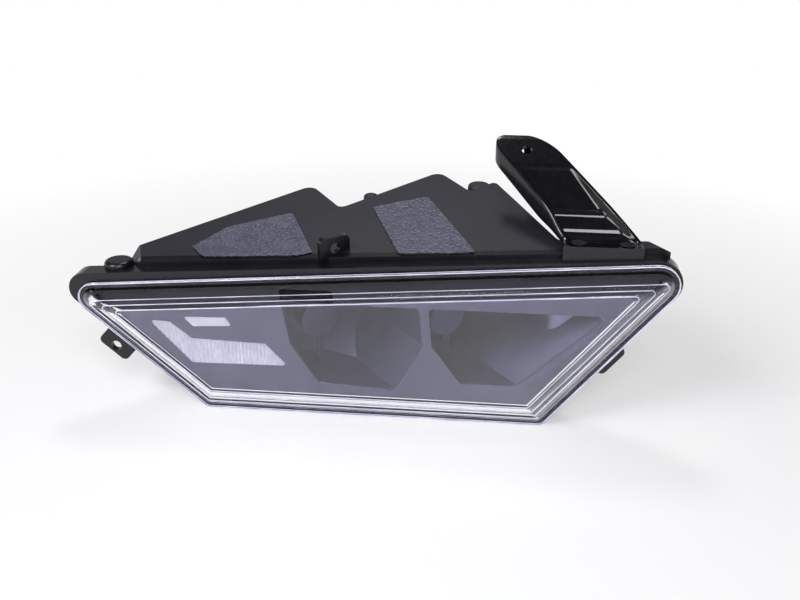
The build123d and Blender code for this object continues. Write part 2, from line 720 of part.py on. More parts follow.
    # Hollow glass capsule with a drawn tip
    bulb_foot = axis_plane(u, glass_back, AXIS_HEIGHT).origin
    bulb_plane = Plane(origin=bulb_foot, x_dir=FORWARD, z_dir=ACROSS * -1)
    tube = GLASS_LENGTH - GLASS_RADIUS
    bore = GLASS_RADIUS - GLASS_WALL
    with BuildPart() as glass:
        with BuildSketch(bulb_plane):
            with BuildLine():
                Polyline(
                    (0, bore),
                    (0, GLASS_RADIUS),
                    (tube, GLASS_RADIUS),
                    (GLASS_LENGTH, GLASS_WALL),
                    (GLASS_LENGTH, 0),
                    (GLASS_LENGTH - 2 * GLASS_WALL, 0),
                    (tube, bore),
                    close=True,
                )
            make_face()
        revolve(axis=Axis(bulb_plane.origin, FORWARD))
    glass.part.label = f"bulb_glass_{name}"
    export_step(glass.part, f"parts/bulb_glass_{name}.step")

    # Filament across two support posts
    with BuildPart() as filament:
        with BuildSketch(axis_plane(u, glass_back, AXIS_HEIGHT)):
            with Locations((-POST_SPREAD / 2, 0), (POST_SPREAD / 2, 0)):
                Circle(POST_RADIUS)
        extrude(amount=-POST_LENGTH)
        post_end = axis_plane(u, glass_back - POST_LENGTH, AXIS_HEIGHT).origin
        with BuildSketch(Plane(origin=post_end, z_dir=ACROSS)):
            Circle(FILAMENT_RADIUS)
        extrude(amount=FILAMENT_LENGTH / 2, both=True)
    filament.part.label = f"filament_{name}"
    export_step(filament.part, f"parts/filament_{name}.step")

    # Glare shield: a cup round the bulb tip on a strut down to the reflector
    tip = glass_back - GLASS_LENGTH
    cup_front = tip - SHIELD_CLEARANCE
    with BuildPart() as shield:
        with BuildSketch(axis_plane(u, cup_front, AXIS_HEIGHT)):
            Circle(SHIELD_RADIUS)
        extrude(amount=SHIELD_DEPTH)
        with BuildSketch(axis_plane(u, cup_front, AXIS_HEIGHT)):
            with Locations((0, -AXIS_HEIGHT / 2)):
                Rectangle(STRUT_WIDTH, AXIS_HEIGHT)
        extrude(amount=STRUT_WIDTH)
        add(hollow, mode=Mode.INTERSECT)
        with BuildSketch(axis_plane(u, cup_front + SHIELD_WALL, AXIS_HEIGHT)):
            Circle(SHIELD_RADIUS - SHIELD_WALL)
        extrude(amount=SHIELD_DEPTH, mode=Mode.SUBTRACT)
    shield.part.label = f"bulb_shield_{name}"
    export_step(shield.part, f"parts/bulb_shield_{name}.step")

# Fluted marker optic behind its opening, with a flange on the back of the bezel
flute_run = marker_opening[1][0] - marker_opening[-1][0]
flute_count = int(flute_run / FLUTE_PITCH)
flute_points = [(marker_opening[-1][0], SEAT_DEPTH)]
for number in range(flute_count):
    x = marker_opening[-1][0] + number * FLUTE_PITCH
    flute_points += [(x, BEZEL_FRONT), (x + FLUTE_PITCH / 2, BEZEL_FRONT - FLUTE_DEPTH)]
flute_points += [(x + FLUTE_PITCH, BEZEL_FRONT), (x + FLUTE_PITCH, SEAT_DEPTH)]
with BuildPart() as marker_optic:
    with BuildSketch(Plane.XY):
        with BuildLine():
            Polyline(flute_points, close=True)
        make_face()
    extrude(amount=MID_HEIGHT)
    lead = panel(marker_opening, SEAT_DEPTH, -OPTIC_GAP, MARKER_CORNER)
    extrude(lead, amount=BEZEL_THICKNESS + FLUTE_DEPTH, mode=Mode.INTERSECT)
    extrude(panel(marker_opening, SEAT_DEPTH, OPTIC_OVERLAP, MARKER_CORNER), amount=-OPTIC_THICKNESS)
marker_optic.part.label = "marker_optic"
export_step(marker_optic.part, "parts/marker_optic.step")

# Small clear window above the optic
with BuildPart() as marker_window:
    extrude(panel(window_opening, SEAT_DEPTH, -OPTIC_GAP, MARKER_CORNER), amount=BEZEL_THICKNESS)
    extrude(panel(window_opening, SEAT_DEPTH, OPTIC_OVERLAP, MARKER_CORNER), amount=-OPTIC_THICKNESS)
marker_window.part.label = "marker_window"
export_step(marker_window.part, "parts/marker_window.step")

# Marker reflector: a tray on the back of the bezel, with a hole for its bulb
tray_plane = axis_plane(MARKER_U, REAR_LOW - TRAY_BACK, MARKER_HEIGHT)
tray_shell = tunnel(tray_opening, TRAY_WALL, reach) & reflector_limit
tray_hollow = tunnel(tray_opening, 0, reach) & hollow_limit
tray_hollow = split(tray_hollow, bisect_by=tray_plane.offset(-TRAY_WALL), keep=Keep.BOTTOM)
with BuildPart() as marker_reflector:
    add(tray_shell)
    split(bisect_by=tray_plane, keep=Keep.BOTTOM)
    add(tray_hollow, mode=Mode.SUBTRACT)
    with BuildSketch(tray_plane):
        Circle(MARKER_PORT_RADIUS)
    extrude(amount=-2 * TRAY_WALL, mode=Mode.SUBTRACT)
marker_reflector.part.label = "marker_reflector"
export_step(marker_reflector.part, "parts/marker_reflector.step")

# Marker bulb holder, its sealing washer and the wedge bulb
washer_back = REAR_LOW + COLLAR_HEIGHT + WASHER
marker_front = washer_back - MARKER_SHANK_LENGTH
with BuildPart() as marker_seal:
    with BuildSketch(axis_plane(MARKER_U, REAR_LOW + COLLAR_HEIGHT, MARKER_HEIGHT)):
        Circle(MARKER_PORT_RADIUS + COLLAR_WALL)
        Circle(MARKER_PORT_RADIUS, mode=Mode.SUBTRACT)
    extrude(amount=WASHER)
marker_seal.part.label = "marker_seal"
export_step(marker_seal.part, "parts/marker_seal.step")

with BuildPart() as marker_socket:
    with BuildSketch(axis_plane(MARKER_U, marker_front, MARKER_HEIGHT)):
        Circle(MARKER_PORT_RADIUS - SHANK_GAP)
    extrude(amount=MARKER_SHANK_LENGTH)
    with BuildSketch(axis_plane(MARKER_U, washer_back, MARKER_HEIGHT)):
        Circle(MARKER_PORT_RADIUS + COLLAR_WALL)
    extrude(amount=SOCKET_FLANGE)
    with BuildSketch(axis_plane(MARKER_U, washer_back + SOCKET_FLANGE, MARKER_HEIGHT)):
        RectangleRounded(2 * MARKER_PORT_RADIUS, MARKER_PORT_RADIUS, CONNECTOR_WALL)
    extrude(amount=CONNECTOR_CAVITY)
marker_socket.part.label = "marker_socket"
export_step(marker_socket.part, "parts/marker_socket.step")

with BuildPart() as marker_bulb:
    with BuildSketch(axis_plane(MARKER_U, marker_front, MARKER_HEIGHT)):
        Circle(MARKER_BULB_RADIUS)
    extrude(amount=-MARKER_BULB_LENGTH)
    tip_edge = marker_bulb.edges().sort_by(Axis(marker_bulb.part.center(), FORWARD))[-1]
    chamfer(tip_edge, MARKER_BULB_RADIUS - MARKER_BULB_TIP)
marker_bulb.part.label = "marker_bulb"
export_step(marker_bulb.part, "parts/marker_bulb.step")

# Upper bracket: a foot and riser, a channelled arm and a hollow pad with its bolt hole
fold = [(SEAT_FRONT, seat_height), (foot_back, seat_height)]
for run, rise in ((RISER_RUN, RISER_HEIGHT), (ARM_RUN, ARM_HEIGHT), (PAD_RUN, PAD_HEIGHT)):
    fold.append((fold[-1][0] + run, fold[-1][1] + rise))


def on_fold(first, run):
    """Point on a stretch of the fold line, a run back from its start."""
    (y, z), (next_y, next_z) = fold[first : first + 2]
    return (y + run, z + run * (next_z - z) / (next_y - y))


def strip(line, top, bottom):
    """Side profile between two heights over a stretch of the fold line, as a wide solid."""
    upper = [(y, z + top) for y, z in line]
    lower = [(y, z + bottom) for y, z in reversed(line)]
    with BuildPart() as solid:
        with BuildSketch(Plane.YZ):
            with BuildLine():
                Polyline(upper + lower, close=True)
            make_face()
        extrude(amount=2 * BRACKET_X)
    return solid.part


def bracket_plan(margin):
    """Plan of the bracket: a foot along the flange and an arm swept back to a round pad."""
    shift = BACK.X / BACK.Y
    back_y = fold[-1][0]
    left = BRACKET_X - BRACKET_WIDTH / 2
    right = BRACKET_X + BRACKET_WIDTH / 2
    tip_left = left + shift * (back_y - foot_back)
    tip_right = tip_left + PAD_WIDTH
    arm_right = left + shift * RISER_RUN + ARM_WIDTH
    points = [
        (left, SEAT_FRONT),
        (right, SEAT_FRONT),
        (right, foot_back),
        (arm_right, foot_back + RISER_RUN),
        (tip_right, back_y),
        (tip_left, back_y),
        (left, foot_back),
    ]
    radii = 4 * [BEND_RADIUS] + 2 * [PAD_CORNER_RADIUS] + [BEND_RADIUS]
    with BuildSketch(Plane.XY) as shape:
        with BuildLine():
            FilletPolyline(points, radius=radii, close=True)
        make_face()
        offset(amount=-margin)
    return shape.sketch


def within_plan(solid, margin):
    """Part of a solid that lies inside the bracket's plan, moved in by a margin."""
    with BuildPart() as kept:
        extrude(bracket_plan(margin), amount=3 * MID_HEIGHT)
        add(solid, mode=Mode.INTERSECT)
    return kept.part


hole_y = fold[-1][0] - BRACKET_HOLE_BACK
hole_x = BRACKET_X - BRACKET_WIDTH / 2 + PAD_WIDTH / 2 + BACK.X / BACK.Y * (hole_y - foot_back)
arm_line = [on_fold(2, BRACKET_SHEET), on_fold(2, ARM_RUN - BRACKET_SHEET)]
pad_line = [on_fold(3, BRACKET_SHEET), fold[-1]]
arm_pocket = strip(arm_line, 2 * BRACKET_SIDE, BRACKET_SHEET - BRACKET_SIDE)
pad_hollow = strip(pad_line, 0, -2 * BRACKET_SIDE)
with BuildPart() as upper_bracket:
    add(within_plan(strip(fold[:3], BRACKET_SHEET, 0), 0))
    add(within_plan(strip(fold[2:], BRACKET_SHEET, -BRACKET_SIDE), 0))
    add(within_plan(arm_pocket, BRACKET_SHEET), mode=Mode.SUBTRACT)
    add(within_plan(pad_hollow, BRACKET_SHEET), mode=Mode.SUBTRACT)
    pad_normal = Vector(0, -PAD_HEIGHT, PAD_RUN).normalized()
    pad_point = (hole_x, hole_y, fold[-1][1] - BRACKET_HOLE_BACK * PAD_HEIGHT / PAD_RUN)
    with BuildSketch(Plane(origin=pad_point, z_dir=pad_normal)):
        Circle(BOLT_HOLE_RADIUS)
    extrude(amount=2 * BRACKET_SHEET, mode=Mode.SUBTRACT)
    with BuildSketch(Plane.XY.offset(seat_height)):
        with Locations(*screw_places):
            Circle(SCREW_RADIUS + SCREW_GAP)
    extrude(amount=BRACKET_SHEET, mode=Mode.SUBTRACT)
    with BuildSketch(Plane.XY.offset(seat_height + BRACKET_SHEET)):
        with Locations(*screw_places):
            Circle(SCREW_HEAD_RADIUS + SCREW_GAP)
    extrude(amount=-SCREW_HEAD_HEIGHT, taper=COUNTERSINK, mode=Mode.SUBTRACT)
upper_bracket.part.label = "upper_bracket"
export_step(upper_bracket.part, "parts/upper_bracket.step")

# Countersunk screws that hold the bracket to its seat
for number, place in enumerate(screw_places, 1):
    with BuildPart() as bracket_screw:
        with BuildSketch(Plane.XY.offset(seat_height + BRACKET_SHEET)):
            with Locations(place):
                Circle(SCREW_HEAD_RADIUS)
        extrude(amount=-SCREW_HEAD_HEIGHT, taper=COUNTERSINK)
        with BuildSketch(Plane.XY.offset(seat_height + BRACKET_SHEET)):
            with Locations(place):
                Circle(SCREW_RADIUS)
        extrude(amount=-BRACKET_SHEET - SCREW_LENGTH)
    bracket_screw.part.label = f"bracket_screw_{number}"
    export_step(bracket_screw.part, f"parts/bracket_screw_{number}.step")
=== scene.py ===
"""Headlight assembly on a pale table: finishes, moulded grain, light and camera."""

import json
from math import cos, radians, sin, tan

import bmesh
import bpy
from mathutils import Matrix, Vector


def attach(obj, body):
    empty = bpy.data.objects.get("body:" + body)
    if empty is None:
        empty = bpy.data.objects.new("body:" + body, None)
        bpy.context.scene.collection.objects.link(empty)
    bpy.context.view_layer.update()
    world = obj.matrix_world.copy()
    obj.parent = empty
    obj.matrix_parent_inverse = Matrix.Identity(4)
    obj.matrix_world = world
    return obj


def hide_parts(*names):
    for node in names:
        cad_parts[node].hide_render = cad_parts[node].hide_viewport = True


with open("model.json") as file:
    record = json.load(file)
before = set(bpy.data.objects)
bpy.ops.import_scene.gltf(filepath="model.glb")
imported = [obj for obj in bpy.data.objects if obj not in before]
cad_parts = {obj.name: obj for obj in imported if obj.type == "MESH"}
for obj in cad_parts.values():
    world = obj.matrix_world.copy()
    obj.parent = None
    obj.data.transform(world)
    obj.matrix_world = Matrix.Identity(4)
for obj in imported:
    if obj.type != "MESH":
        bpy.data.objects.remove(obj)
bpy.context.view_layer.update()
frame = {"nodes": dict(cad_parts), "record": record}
nodes = frame["nodes"]
scene = bpy.context.scene
scene.view_settings.view_transform = "Standard"

MM = 0.001

# Sizes of the moulding that its finishes follow, in millimetres and degrees
SWEEP = 37.5
POLISH_DEPTH = 14.2
TOP_TILT = 4.5
# Heights along the tilted bezel top across which the bezel is painted dark as shade under the lens brow
BROW_SHADE_STRIP = (77.0, 80.0)
TAB_CENTRE = (-27.0, 14.0, 109.0)
TAB_REACH = (10.2, 2.2, 8.0)


def linear(hex_colour):
    """Linear colour of an sRGB hex value."""
    channels = [int(hex_colour[i : i + 2], 16) / 255 for i in (1, 3, 5)]
    return [c / 12.92 if c <= 0.04045 else ((c + 0.055) / 1.055) ** 2.4 for c in channels] + [1.0]


def add(tree, kind, values=None, links=None, **settings):
    """Adds a node with its settings, socket values and incoming links."""
    made = tree.nodes.new(kind)
    for name, value in settings.items():
        setattr(made, name, value)
    for socket, value in (values or {}).items():
        made.inputs[socket].default_value = value
    for socket, source in (links or {}).items():
        tree.links.new(source, made.inputs[socket])
    return made


def finish(name, surface):
    """Makes a material whose surface shader comes from a function of its node tree."""
    material = bpy.data.materials.new(name)
    material.use_nodes = True
    tree = material.node_tree
    tree.nodes.clear()
    place = add(tree, "ShaderNodeTexCoord").outputs["Object"]
    shader = surface(tree, place)
    add(tree, "ShaderNodeOutputMaterial", links={"Surface": shader})
    return material


def worn_surface(tree, place, size_mm, tones, rough, relief=None, detail=3.0):
    """Links for a shader: a colour and roughness that drift together, and a relief with a real grain."""
    drift = {"Scale": 1 / (size_mm * MM), "Detail": detail}
    drift = add(tree, "ShaderNodeTexNoise", drift, {"Vector": place}).outputs["Fac"]
    ramp = add(tree, "ShaderNodeValToRGB", links={"Fac": drift})
    for stop, tone, position in zip(ramp.color_ramp.elements, tones, (0.3, 0.7)):
        stop.color = linear(tone)
        stop.position = position
    shine = add(tree, "ShaderNodeMapRange", {"To Min": rough[0], "To Max": rough[1]}, {"Value": drift})
    links = {"Base Color": ramp.outputs["Color"], "Roughness": shine.outputs["Result"]}
    if relief:
        grain_mm, strength, depth_mm = relief
        grain = {"Scale": 1 / (grain_mm * MM), "Detail": detail}
        grain = add(tree, "ShaderNodeTexNoise", grain, {"Vector": place}).outputs["Fac"]
        bump = {"Strength": strength, "Distance": depth_mm * MM}
        links["Normal"] = add(tree, "ShaderNodeBump", bump, {"Height": grain}).outputs["Normal"]
    return links


def top_tab_share(tree, place):
    """One on the upright top tab and nothing elsewhere, from the tab's own plane."""
    moved = add(tree, "ShaderNodeVectorMath", {1: [-v * MM for v in TAB_CENTRE]}, {0: place}).outputs[0]
    turn = {"Angle": radians(-SWEEP)}
    turned = add(tree, "ShaderNodeVectorRotate", turn, {"Vector": moved}, rotation_type="Z_AXIS").outputs[0]
    sides = add(tree, "ShaderNodeVectorMath", links={0: turned}, operation="ABSOLUTE").outputs[0]
    axes = add(tree, "ShaderNodeSeparateXYZ", links={"Vector": sides}).outputs
    share = None
    for axis, reach in zip("XYZ", TAB_REACH):
        near = add(tree, "ShaderNodeMath", {1: reach * MM}, {0: axes[axis]}, operation="LESS_THAN").outputs[0]
        both = {0: near if share is None else share, 1: near}
        share = add(tree, "ShaderNodeMath", links=both, operation="MULTIPLY").outputs[0]
    return share


def moulded_polypropylene(tree, place):
    # Talc-filled polypropylene, injection moulded: charcoal and satin on the body, where the tool was
    # spark eroded, and near black with a polish on the flange, the bracket seat and the top tab
    depth = add(tree, "ShaderNodeSeparateXYZ", links={"Vector": place}).outputs["Y"]
    flange = add(tree, "ShaderNodeMath", {1: POLISH_DEPTH * MM}, {0: depth}, operation="LESS_THAN").outputs[0]
    shares = {0: flange, 1: top_tab_share(tree, place)}
    polish = add(tree, "ShaderNodeMath", links=shares, operation="MAXIMUM").outputs[0]
    links = worn_surface(tree, place, 24, ("#14141e", "#1b1b27"), (0.45, 0.58), (0.8, 0.25, 0.08))
    dark = worn_surface(tree, place, 24, ("#0a0a10", "#0f0f17"), (0.24, 0.32))
    colours = {"Factor": polish, 6: links["Base Color"], 7: dark["Base Color"]}
    links["Base Color"] = add(tree, "ShaderNodeMix", links=colours, data_type="RGBA").outputs[2]
    shines = {"Factor": polish, 2: links["Roughness"], 3: dark["Roughness"]}
    links["Roughness"] = add(tree, "ShaderNodeMix", links=shines, data_type="FLOAT").outputs[0]
    return add(tree, "ShaderNodeBsdfPrincipled", {"IOR": 1.49}, links).outputs["BSDF"]


def grained_polypropylene(tree, place):
    # The same moulding where the tool was etched with a leather grain: it scatters light and looks paler
    links = worn_surface(tree, place, 9, ("#3f4052", "#4c4d60"), (0.36, 0.5), (0.7, 0.3, 0.1))
    return add(tree, "ShaderNodeBsdfPrincipled", {"IOR": 1.49}, links).outputs["BSDF"]


def gloss_black_enamel(tree, place):
    # Pressed steel under stoved black enamel: deep black with a wet shine and faint orange peel
    links = worn_surface(tree, place, 3.5, ("#08080c", "#0d0d13"), (0.12, 0.2), (3.5, 0.12, 0.06), 1.0)
    return add(tree, "ShaderNodeBsdfPrincipled", {"IOR": 1.5}, links).outputs["BSDF"]


def light_through(tree, clear):
    """Lets lamp light pass a clear wall, so that what is behind it is lit."""
    shadow = add(tree, "ShaderNodeLightPath").outputs["Is Shadow Ray"]
    through = add(tree, "ShaderNodeBsdfTransparent", {"Color": linear("#f2f2f6")}).outputs["BSDF"]
    return add(tree, "ShaderNodeMixShader", links={0: shadow, 1: clear, 2: through}).outputs["Shader"]


def clear_polycarbonate(tree, place):
    # Hard-coated polycarbonate, injection moulded: water clear, with a mirror-bright skin
    links = worn_surface(tree, place, 60, ("#f8f8ff", "#fdfdff"), (0.0, 0.02), (60, 0.1, 0.1), 1.0)
    values = {"IOR": 1.585, "Transmission Weight": 1.0}
    return light_through(tree, add(tree, "ShaderNodeBsdfPrincipled", values, links).outputs["BSDF"])


def frosted_polycarbonate(tree, place):
    # Clear polycarbonate with an etched back: the flutes glow pale and blur what is behind them
    links = worn_surface(tree, place, 4, ("#cfcedd", "#e6e5f0"), (0.12, 0.25))
    values = {"IOR": 1.585, "Transmission Weight": 0.45}
    return light_through(tree, add(tree, "ShaderNodeBsdfPrincipled", values, links).outputs["BSDF"])


def painted_edge_highlight(tree, place):
    # Painted highlight: a milky white bead along a rounded edge of the clear moulding, standing in for the
    # bright line that light draws on that edge
    links = worn_surface(tree, place, 20, ("#b9b9d2", "#ececfa"), (0.08, 0.2))
    values = {"IOR": 1.585, "Transmission Weight": 0.25}
    return light_through(tree, add(tree, "ShaderNodeBsdfPrincipled", values, links).outputs["BSDF"])


def satin_bezel(tree, place):
    # Moulded polyester with a fine matt etch: slate violet with a soft sheen, and near black on the
    # strip along the top: painted shade where the lens brow overhangs it
    links = worn_surface(tree, place, 18, ("#3a3950", "#43425a"), (0.42, 0.52), (0.9, 0.2, 0.06))
    axes = add(tree, "ShaderNodeSeparateXYZ", links={"Vector": place}).outputs
    tilt = {0: axes["X"], 2: axes["Z"]}
    slope = {1: -tan(radians(TOP_TILT))}
    level = add(tree, "ShaderNodeMath", slope, tilt, operation="MULTIPLY_ADD").outputs[0]
    # Painted shade: the colour darkens to near black across the strip under the lens brow
    brow_shade_share = {"From Min": BROW_SHADE_STRIP[0] * MM, "From Max": BROW_SHADE_STRIP[1] * MM}
    brow_shade_share = add(tree, "ShaderNodeMapRange", brow_shade_share, {"Value": level}).outputs["Result"]
    # Near black tones of the painted shade under the brow
    brow_shade = worn_surface(tree, place, 18, ("#101018", "#16161f"), (0.4, 0.5))
    colours = {"Factor": brow_shade_share, 6: links["Base Color"], 7: brow_shade["Base Color"]}
    links["Base Color"] = add(tree, "ShaderNodeMix", links=colours, data_type="RGBA").outputs[2]
    return add(tree, "ShaderNodeBsdfPrincipled", {"IOR": 1.55}, links).outputs["BSDF"]


def metallised_bowl(tree, place):
    # Plastic with a vacuum-coated smoked aluminium layer: a dark mirror with a soft haze
    links = worn_surface(tree, place, 14, ("#807e9e", "#8a88a8"), (0.36, 0.46), (14, 0.08, 0.1))
    return add(tree, "ShaderNodeBsdfPrincipled", {"Metallic": 1.0}, links).outputs["BSDF"]


def smoked_cap(tree, place):
    # Pressed steel cap with a smoked coat: a darker, duller mirror than the bowl round it
    links = worn_surface(tree, place, 6, ("#434256", "#4d4c62"), (0.34, 0.44))
    return add(tree, "ShaderNodeBsdfPrincipled", {"Metallic": 1.0}, links).outputs["BSDF"]


def blackened_steel(tree, place):
    # Steel with a black oxide coat: dark, with a faint oily shine
    links = worn_surface(tree, place, 1.2, ("#101014", "#18181d"), (0.3, 0.45))
    return add(tree, "ShaderNodeBsdfPrincipled", {"IOR": 1.6}, links).outputs["BSDF"]


def zinc_plated_steel(tree, place):
    # Zinc-plated steel: pale grey metal with a slight milky bloom
    links = worn_surface(tree, place, 1.6, ("#a9abb2", "#bfc1c8"), (0.25, 0.42))
    return add(tree, "ShaderNodeBsdfPrincipled", {"Metallic": 1.0}, links).outputs["BSDF"]


def tinned_brass(tree, place):
    # Rolled brass strip: warm yellow metal with a fine rolled grain
    links = worn_surface(tree, place, 0.9, ("#b8965a", "#cfae70"), (0.22, 0.38))
    return add(tree, "ShaderNodeBsdfPrincipled", {"Metallic": 1.0}, links).outputs["BSDF"]


def black_nylon(tree, place):
    # Glass-filled nylon: near black, with a dry satin surface
    links = worn_surface(tree, place, 0.9, ("#17171b", "#1f1f24"), (0.4, 0.55), (0.9, 0.2, 0.06))
    return add(tree, "ShaderNodeBsdfPrincipled", {"IOR": 1.53}, links).outputs["BSDF"]


def sealing_rubber(tree, place):
    # Soft black rubber: dull, with a dusty bloom
    links = worn_surface(tree, place, 2.5, ("#111114", "#1a1a1e"), (0.65, 0.85))
    return add(tree, "ShaderNodeBsdfPrincipled", {"IOR": 1.52}, links).outputs["BSDF"]


def quartz_glass(tree, place):
    # Blown quartz glass: clear and thin, with slight waves in its wall
    links = worn_surface(tree, place, 8, ("#f5f6f9", "#f9fafc"), (0.0, 0.03), (8, 0.15, 0.1), 1.0)
    values = {"IOR": 1.46, "Transmission Weight": 1.0}
    return light_through(tree, add(tree, "ShaderNodeBsdfPrincipled", values, links).outputs["BSDF"])


finishes = {
    "housing": finish("moulded_polypropylene", moulded_polypropylene),
    "grain": finish("grained_polypropylene", grained_polypropylene),
    "bracket": finish("gloss_black_enamel", gloss_black_enamel),
    "lens": finish("clear_polycarbonate", clear_polycarbonate),
    # Painted highlight: milky white finish for the beads on the lens edges
    "lens_edge": finish("painted_edge_highlight", painted_edge_highlight),
    "optic": finish("frosted_polycarbonate", frosted_polycarbonate),
    "bezel": finish("satin_bezel", satin_bezel),
    "reflector": finish("metallised_bowl", metallised_bowl),
    "shield": finish("smoked_cap", smoked_cap),
    "bracket_screw": finish("blackened_steel", blackened_steel),
    "screw": finish("zinc_plated_steel", zinc_plated_steel),
    "bulb_base": finish("plated_bulb_base", zinc_plated_steel),
    "filament": finish("drawn_wire", zinc_plated_steel),
    "terminal": finish("tinned_brass", tinned_brass),
    "socket": finish("black_nylon", black_nylon),
    "seal": finish("sealing_rubber", sealing_rubber),
    "bulb_glass": finish("quartz_glass", quartz_glass),
}

for part in frame["record"]["subparts"]:
    solid = nodes[part["node"]]
    kind = "bracket_screw" if part["node"].startswith("bracket_screw") else part["material_slot"]
    for place in solid.material_slots:
        place.material = finishes[kind]


def placed(name, data):
    """Puts a mesh, lamp or camera in the scene as an object at the origin."""
    piece = bpy.data.objects.new(name, data)
    scene.collection.objects.link(piece)
    return piece


def mesh_of(work, name):
    """Turns a working mesh into a finished one."""
    mesh = bpy.data.meshes.new(name)
    work.to_mesh(mesh)
    work.free()
    return mesh


def settle(piece, modifier):
    """Turns a piece and its one modifier into a plain smooth mesh."""
    seen = piece.evaluated_get(bpy.context.evaluated_depsgraph_get())
    mesh = bpy.data.meshes.new_from_object(seen)
    piece.modifiers.remove(modifier)
    piece.data = mesh
    mesh.name = piece.name
    mesh.polygons.foreach_set("use_smooth", [True] * len(mesh.polygons))
    return mesh


# Plane of the housing top and the outlines of its two grained pads, in millimetres
TOP_HEIGHT = 104.0
TOP_SLOPES = (0.059, 0.176)
PAD_RISE = 0.6
PAD_MARGIN = 0.4
PAD_ROUNDING = 4.0
LOW_PAD = [(-119, 24), (-102, 48), (-62, 65), (-40, 15), (-49, 10.5), (-108, 10.5)]
HIGH_PAD = [(-10, 70), (26, 83), (60, 10.5), (13, 10.5)]

# Leather grain: mesh step, pebble pitch, depth and seat in millimetres, its turn in degrees and its stretch
GRAIN_STEP = 0.55
PEBBLE_PITCH = 1.7
GRAIN_DEPTH = 0.5
GRAIN_SEAT = 0.05
GRAIN_TURN = 35.0
GRAIN_STRETCH = (1.0, 1.7, 1.0)
PEBBLE_SCATTER = 0.9
PEBBLE_CROWN, PEBBLE_FOOT = 0.1, 0.7


def leather_grain_tree(material):
    """Geometry nodes that raise a flat patch into a pebbled leather grain."""
    tree = bpy.data.node_groups.new("leather_grain", "GeometryNodeTree")
    face = tree.interface
    face.new_socket("Patch", in_out="INPUT", socket_type="NodeSocketGeometry")
    pitch = face.new_socket("Pebble Pitch", in_out="INPUT", socket_type="NodeSocketFloat")
    depth = face.new_socket("Grain Depth", in_out="INPUT", socket_type="NodeSocketFloat")
    face.new_socket("Grain", in_out="OUTPUT", socket_type="NodeSocketGeometry")
    given = add(tree, "NodeGroupInput").outputs
    place = add(tree, "GeometryNodeInputPosition").outputs["Position"]
    scale = add(tree, "ShaderNodeMath", {0: 1.0}, {1: given["Pebble Pitch"]}, operation="DIVIDE").outputs[0]
    turn = {"Angle": radians(-GRAIN_TURN)}
    turned = add(tree, "ShaderNodeVectorRotate", turn, {"Vector": place}, rotation_type="Z_AXIS").outputs[0]
    drawn = add(tree, "ShaderNodeVectorMath", {1: GRAIN_STRETCH}, {0: turned}, operation="MULTIPLY")
    links = {"Vector": drawn.outputs[0], "Scale": scale}
    cells = add(tree, "ShaderNodeTexVoronoi", {"Randomness": PEBBLE_SCATTER}, links, feature="SMOOTH_F1")
    dome = {"From Min": PEBBLE_CROWN, "From Max": PEBBLE_FOOT, "To Min": 1.0, "To Max": 0.0}
    dome = add(tree, "ShaderNodeMapRange", dome, {"Value": cells.outputs["Distance"]}).outputs["Result"]
    links = {0: dome, 1: given["Grain Depth"]}
    lift = add(tree, "ShaderNodeMath", links=links, operation="MULTIPLY").outputs[0]
    normal = add(tree, "GeometryNodeInputNormal").outputs["Normal"]
    links = {0: normal, "Scale": lift}
    rise = add(tree, "ShaderNodeVectorMath", links=links, operation="SCALE").outputs["Vector"]
    links = {"Geometry": given["Patch"], "Offset": rise}
    raised = add(tree, "GeometryNodeSetPosition", links=links).outputs["Geometry"]
    real = add(tree, "GeometryNodeRealizeInstances", links={"Geometry": raised}).outputs["Geometry"]
    coated = add(tree, "GeometryNodeSetMaterial", {"Material": material}, {"Geometry": real})
    add(tree, "NodeGroupOutput", links={"Grain": coated.outputs["Geometry"]})
    return tree, pitch.identifier, depth.identifier


def row_ends(points, height):
    """Left and right ends of a convex outline at a height."""
    crossings = []
    for (x0, y0), (x1, y1) in zip(points, points[1:] + points[:1]):
        if (y0 <= height) != (y1 <= height):
            crossings.append(x0 + (x1 - x0) * (height - y0) / (y1 - y0))
    return min(crossings), max(crossings)


def inset_rows(points):
    """Rows of a convex outline moved in by a margin, with its corners rounded."""
    lowest = min(y for x, y in points)
    highest = max(y for x, y in points)
    rows = []
    count = int((highest - lowest) / GRAIN_STEP)
    for number in range(1, count):
        height = lowest + PAD_MARGIN + (highest - lowest - 2 * PAD_MARGIN) * number / count
        left, right = row_ends(points, height)
        short = 0.0
        for edge in (height - lowest, highest - height):
            if edge < PAD_ROUNDING:
                corner = (PAD_ROUNDING**2 - (PAD_ROUNDING - edge) ** 2) ** 0.5
                short = max(short, PAD_ROUNDING - corner)
        rows.append((left + PAD_MARGIN + short, right - PAD_MARGIN - short, height))
    return [row for row in rows if row[1] - row[0] > GRAIN_STEP]


def grained_pad(name, points, tree, pitch, depth):
    """Moulded leather grain over one pad of the housing top."""
    along = Vector((1, 0, TOP_SLOPES[0])).normalized()
    up = Vector((-TOP_SLOPES[0], -TOP_SLOPES[1], 1)).normalized()
    back = up.cross(along)
    start = Vector((0, 0, TOP_HEIGHT)) + up * (PAD_RISE + GRAIN_SEAT)
    rows = inset_rows(points)
    columns = int(max(right - left for left, right, height in rows) / GRAIN_STEP)
    work = bmesh.new()
    grid = []
    for left, right, height in rows:
        line = []
        for column in range(columns + 1):
            x = left + (right - left) * column / columns
            line.append(work.verts.new((start + along * x + back * height) * MM))
        grid.append(line)
    for lower, upper in zip(grid, grid[1:]):
        for column in range(columns):
            work.faces.new((lower[column], lower[column + 1], upper[column + 1], upper[column]))
    patch = placed(name, mesh_of(work, name + "_flat"))
    grain = patch.modifiers.new("grain", "NODES")
    grain.node_group = tree
    grain[pitch] = PEBBLE_PITCH * MM
    grain[depth] = GRAIN_DEPTH * MM
    settle(patch, grain)
    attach(patch, "root")


